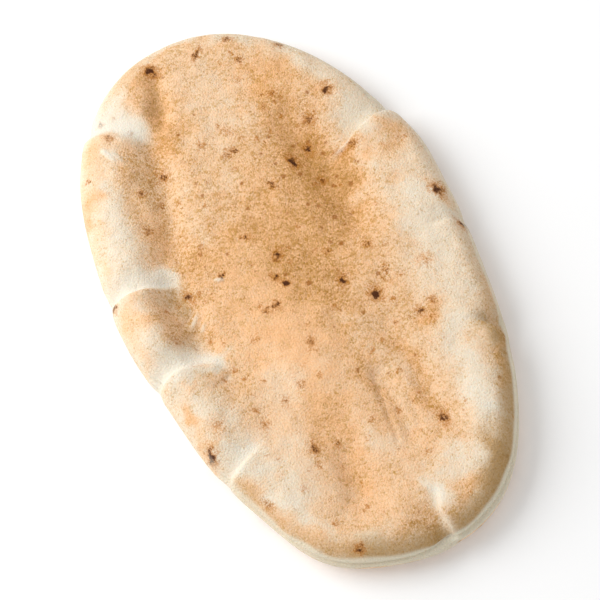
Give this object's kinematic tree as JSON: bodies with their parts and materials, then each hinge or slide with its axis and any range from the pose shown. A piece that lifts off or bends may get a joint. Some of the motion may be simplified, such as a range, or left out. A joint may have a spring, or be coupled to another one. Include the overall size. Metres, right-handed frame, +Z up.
{
  "type": "pita bread",
  "caption": "Oval loaf of puffed flat bread with a raised, pinched rim and a dished middle, lying on its flat underside.",
  "frame": {"origin": "middle of the footprint's bounding box, on the surface the bread lies on", "axes": "+X along the bread's length, +Y across it, +Z up out of its dished top"},
  "size_m": [0.22, 0.1264, 0.0185],
  "materials": {
    "crust": "matt baked crust, pale cream to toasted golden brown"
  },
  "bodies": {
    "root": {"pita": "crust"}
  },
  "joints": []
}
